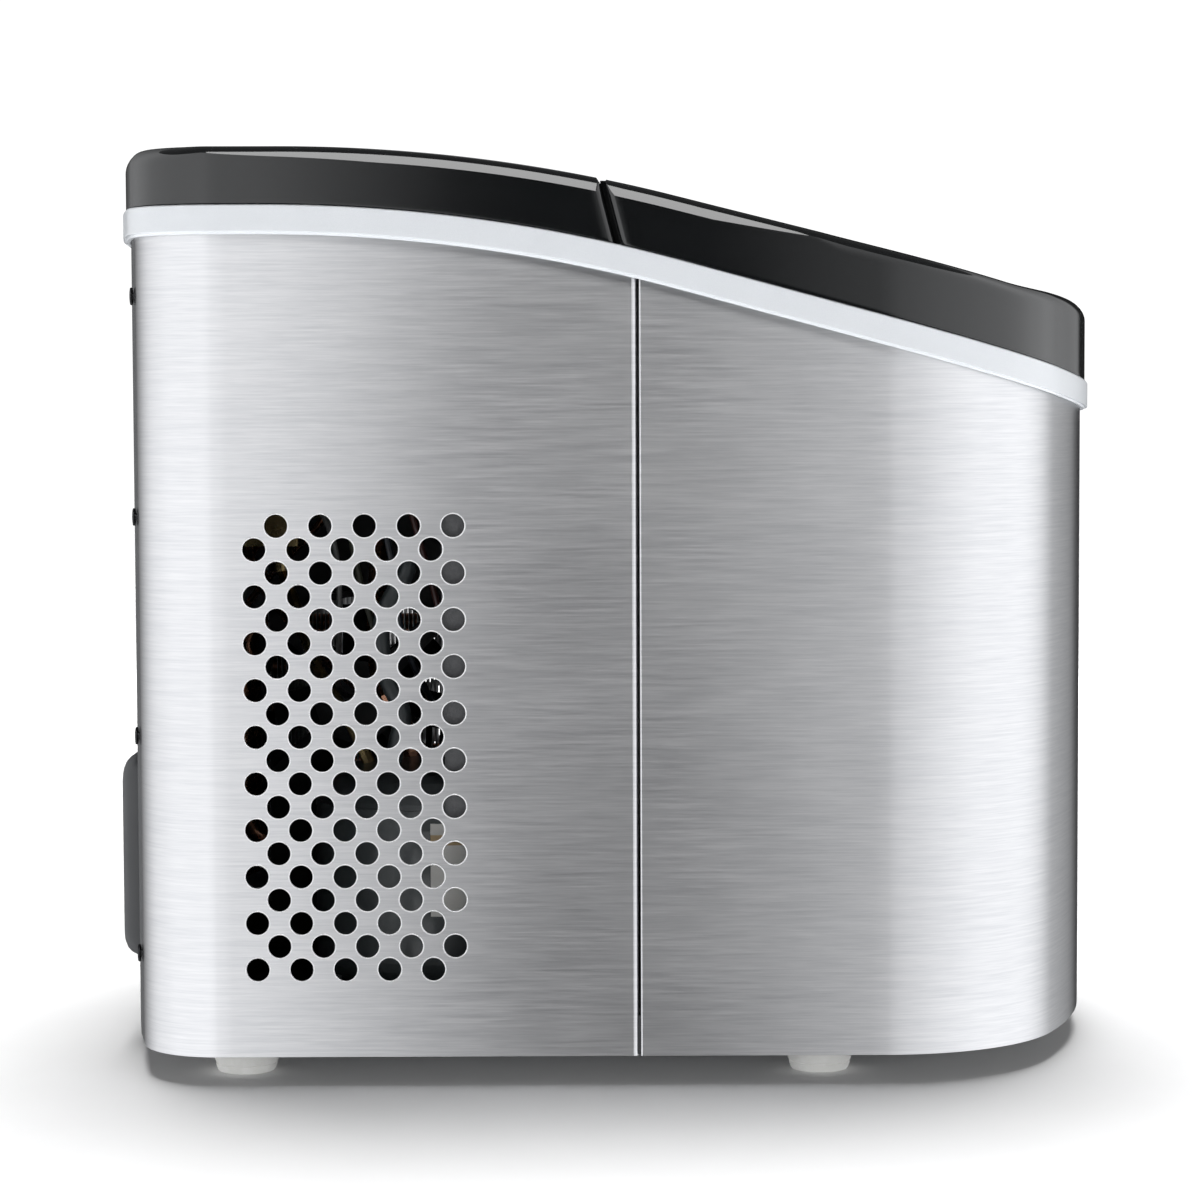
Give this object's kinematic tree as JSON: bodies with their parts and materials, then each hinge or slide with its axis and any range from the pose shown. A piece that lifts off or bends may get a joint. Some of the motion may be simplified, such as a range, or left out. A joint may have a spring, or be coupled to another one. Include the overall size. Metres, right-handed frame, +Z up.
{
  "type": "ice maker",
  "caption": "Countertop bullet-ice maker: steel body, sloping black lid with a window, tilting water tray, lift-out basket, compressor and fan.",
  "frame": {"origin": "on the worktop plane, under the middle of the overall length and width", "axes": "+Z up, -Y towards the front where the lid slopes down, +X towards the side with the drain"},
  "size_m": [0.296, 0.3964, 0.3548],
  "materials": {
    "brushed_steel": "stainless steel, brushed along the horizontal",
    "gloss_black": "high-gloss black moulded plastic",
    "trim_plastic": "pale silver-white painted plastic, satin gloss",
    "dark_plastic": "dark grey moulded plastic, fine texture",
    "pale_plastic": "light grey moulded plastic",
    "white_plastic": "white food-grade plastic, satin",
    "silver_plastic": "silver painted plastic",
    "smoked_window": "smoked clear plastic, polished",
    "lamp_lens": "milky lamp lens",
    "circuit_board": "green lacquered circuit board with parts",
    "grey_rubber": "soft grey seal",
    "black_rubber": "black moulded rubber",
    "foot_rubber": "off-white moulded rubber",
    "silicone": "milky silicone hose",
    "foam": "foamed insulation with a grey skin",
    "zinc": "zinc-plated steel",
    "black_screw": "blackened steel screw heads",
    "nickel": "nickel-plated copper, satin",
    "copper": "drawn copper tube, slightly dulled",
    "brass": "brass valve body",
    "grey_sheet": "dark grey powder-coated sheet steel",
    "compressor_paint": "black stove-enamelled steel",
    "label": "blank paper label",
    "fin_aluminium": "thin aluminium fins"
  },
  "bodies": {
    "body": {"base_tray": "dark_plastic", "foot_front_left": "foot_rubber", "foot_front_right": "foot_rubber", "foot_back_left": "foot_rubber", "foot_back_right": "foot_rubber", "foot_screws": "zinc", "front_panel": "brushed_steel", "side_panel_left": "brushed_steel", "side_panel_right": "brushed_steel", "back_panel": "grey_sheet", "back_panel_screws": "black_screw", "rear_vent_cowl": "dark_plastic", "cable_gland": "black_rubber", "trim_ring": "trim_plastic", "upper_frame": "pale_plastic", "top_cover": "gloss_black", "control_strip": "gloss_black", "display_lens": "smoked_window", "indicator_lenses": "lamp_lens", "control_board": "circuit_board", "power_board": "circuit_board", "hinge_pins": "zinc", "tub": "white_plastic", "insulation": "foam", "ice_sensors": "smoked_window", "evaporator": "nickel", "evaporator_bracket": "zinc", "tray_bushes": "pale_plastic", "tray_motor": "dark_plastic", "pump_body": "dark_plastic", "pump_strainer": "dark_plastic", "water_hose": "silicone", "drain_spout": "pale_plastic", "compressor": "compressor_paint", "terminal_cover": "dark_plastic", "compressor_grommets": "black_rubber", "compressor_bolts": "zinc", "rating_label": "label", "condenser": "fin_aluminium", "fan_shroud": "dark_plastic", "fan_motor": "dark_plastic", "filter_drier": "copper", "discharge_pipe": "copper", "liquid_pipe": "copper", "capillary_tube": "copper", "suction_pipe": "copper", "hot_gas_valve": "brass"},
    "lid": {"lid_frame": "gloss_black", "lid_window": "smoked_window", "lid_gasket": "grey_rubber"},
    "basket": {"ice_basket": "pale_plastic"},
    "tray": {"water_tray": "white_plastic", "shovel_rod": "zinc"},
    "shovel": {"ice_shovel": "pale_plastic"},
    "impeller": {"pump_impeller": "white_plastic"},
    "fan": {"fan_rotor": "dark_plastic"},
    "drain_plug": {"drain_cap": "black_rubber"},
    "power_key": {"button_power": "silver_plastic"},
    "timer_key": {"button_timer": "silver_plastic"},
    "select_key": {"button_select": "silver_plastic"}
  },
  "joints": [
    {"name": "lid_hinge", "type": "hinge", "parent": "body", "child": "lid", "pos_m": [0, 0.006, 0.3415], "axis": [-1, 0, 0], "range_deg": [0, 75]},
    {"name": "basket_lift", "type": "slide", "parent": "body", "child": "basket", "axis": [0, 0, 1], "range_m": [0, 0.055]},
    {"name": "tray_tilt", "type": "hinge", "parent": "body", "child": "tray", "pos_m": [0, 0.008, 0.278], "axis": [1, 0, 0], "range_deg": [0, 80]},
    {"name": "shovel_swing", "type": "hinge", "parent": "tray", "child": "shovel", "pos_m": [0, -0.034, 0.278], "axis": [1, 0, 0], "range_deg": [-150, 0]},
    {"name": "pump_spin", "type": "hinge", "parent": "body", "child": "impeller", "pos_m": [-0.08, -0.052, 0.061], "axis": [0, 0, 1], "continuous": true},
    {"name": "fan_spin", "type": "hinge", "parent": "body", "child": "fan", "pos_m": [0.091, 0.111, 0.128], "axis": [1, 0, 0], "continuous": true},
    {"name": "drain_plug_pull", "type": "slide", "parent": "body", "child": "drain_plug", "axis": [1, 0, 0], "range_m": [0, 0.022]},
    {"name": "power_press", "type": "slide", "parent": "body", "child": "power_key", "axis": [0, 0.1803, -0.9836], "range_m": [0, 0.001], "stiffness_N_per_m": 400},
    {"name": "timer_press", "type": "slide", "parent": "body", "child": "timer_key", "axis": [0, 0.1803, -0.9836], "range_m": [0, 0.001], "stiffness_N_per_m": 400},
    {"name": "select_press", "type": "slide", "parent": "body", "child": "select_key", "axis": [0, 0.1803, -0.9836], "range_m": [0, 0.001], "stiffness_N_per_m": 400}
  ],
  "couplings": [
    {"joint": "shovel_swing", "follows": "tray_tilt", "ratio": -1.875}
  ]
}
